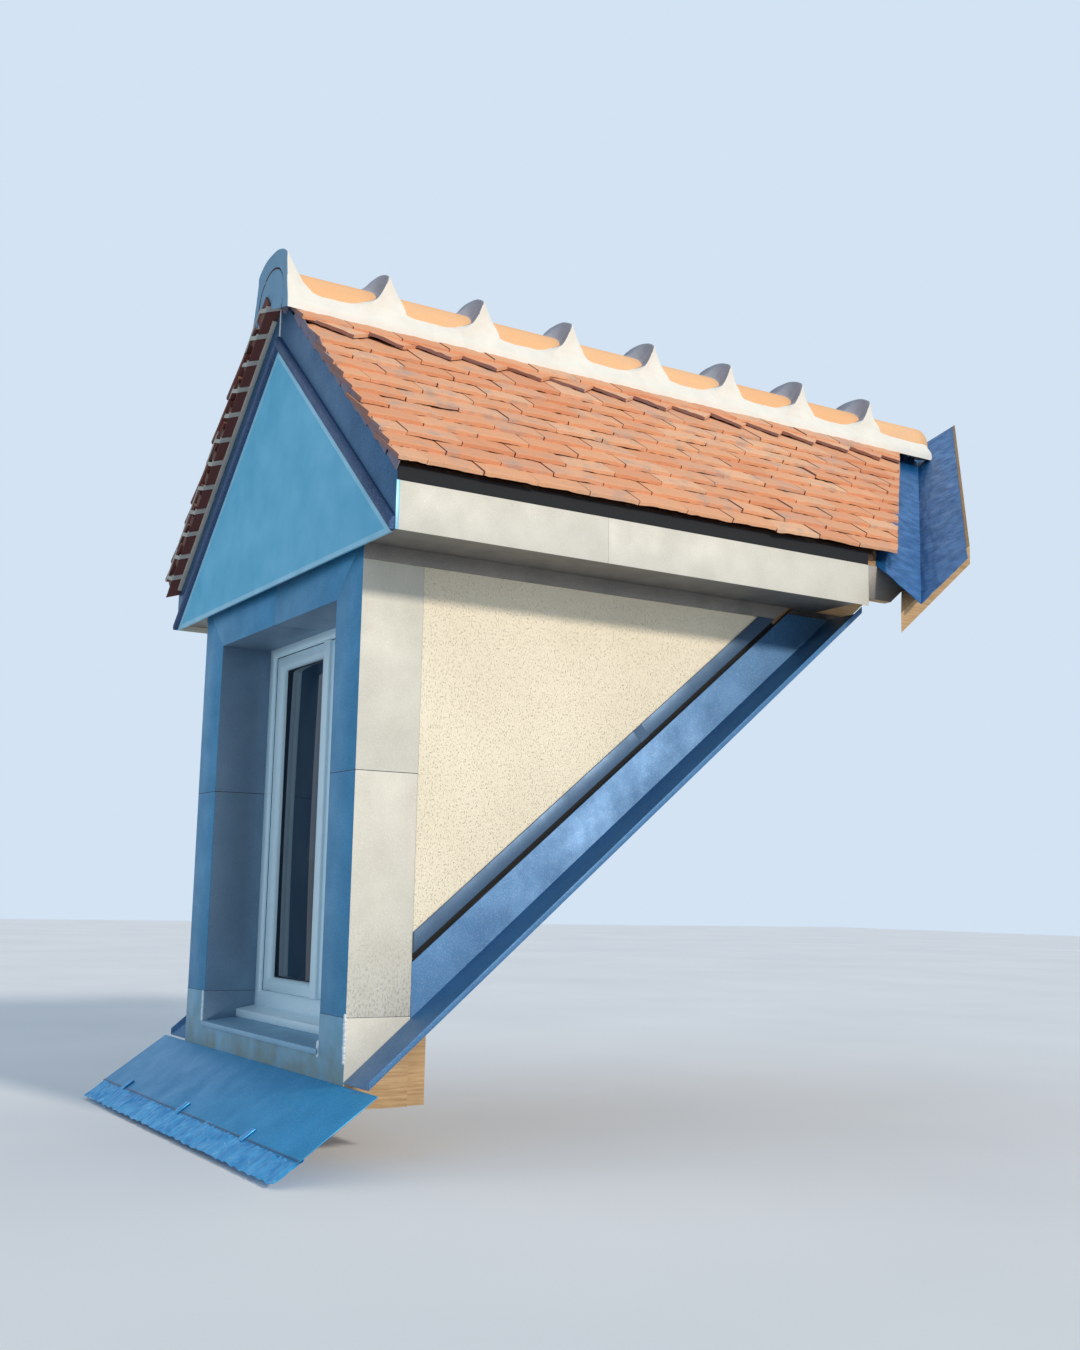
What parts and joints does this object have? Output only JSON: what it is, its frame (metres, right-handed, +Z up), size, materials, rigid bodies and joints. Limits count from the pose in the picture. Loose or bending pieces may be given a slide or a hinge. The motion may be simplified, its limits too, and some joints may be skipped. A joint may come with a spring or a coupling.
{
  "type": "dormer window",
  "caption": "Gabled roof dormer with a white two-leaf window, zinc front and flashings, rendered cheeks, plain clay tiles and a crested mortar ridge.",
  "frame": {"origin": "centre of the front sole's flat underside", "axes": "+X to the right seen from the front, +Y back into the roof along the ridge, +Z up"},
  "size_m": [2.08, 3.169, 2.6308],
  "materials": {
    "timber": "sawn softwood",
    "pvc": "white, satin",
    "glass": "clear double glazing",
    "zinc": "natural zinc sheet, dull blue-grey",
    "render": "scraped cream render",
    "roof_tile": "unglazed clay, weathered",
    "ridge_tile": "unglazed clay",
    "mortar": "off-white lime mortar"
  },
  "bodies": {
    "root": {"front_sole": "timber", "corner_posts": "timber", "lintel_beam": "timber", "cheek_wall_left": "timber", "cheek_wall_right": "timber", "cheek_boards": "timber", "wall_plates": "timber", "rafters": "timber", "ridge_beam": "timber", "roof_boards_left": "timber", "roof_boards_right": "timber", "gable_board": "timber", "fascia_boards": "timber", "valley_boards": "timber", "battens": "timber", "window_frame": "pvc", "window_leaves": "pvc", "window_cover_strip": "pvc", "window_sill": "pvc", "window_glass": "glass", "front_base": "zinc", "jamb_cladding_lower": "zinc", "jamb_cladding_upper": "zinc", "lintel_cladding_left": "zinc", "lintel_cladding_right": "zinc", "sill_cladding": "zinc", "apron": "zinc", "apron_skirt": "zinc", "cover_strips": "zinc", "side_flashing_left": "zinc", "side_flashing_right": "zinc", "friezes": "zinc", "side_soffits": "zinc", "front_soffit": "zinc", "fascias_front": "zinc", "fascias_rear": "zinc", "end_flashings": "zinc", "bargeboard_left": "zinc", "bargeboard_right": "zinc", "gable_panel": "zinc", "rake_bead": "zinc", "valley_flashing_left": "zinc", "valley_flashing_right": "zinc", "cheek_render_left": "render", "cheek_render_right": "render", "roof_tiles_left": "roof_tile", "roof_tiles_right": "roof_tile", "ridge_tiles": "ridge_tile", "ridge_mortar": "mortar"}
  },
  "joints": []
}
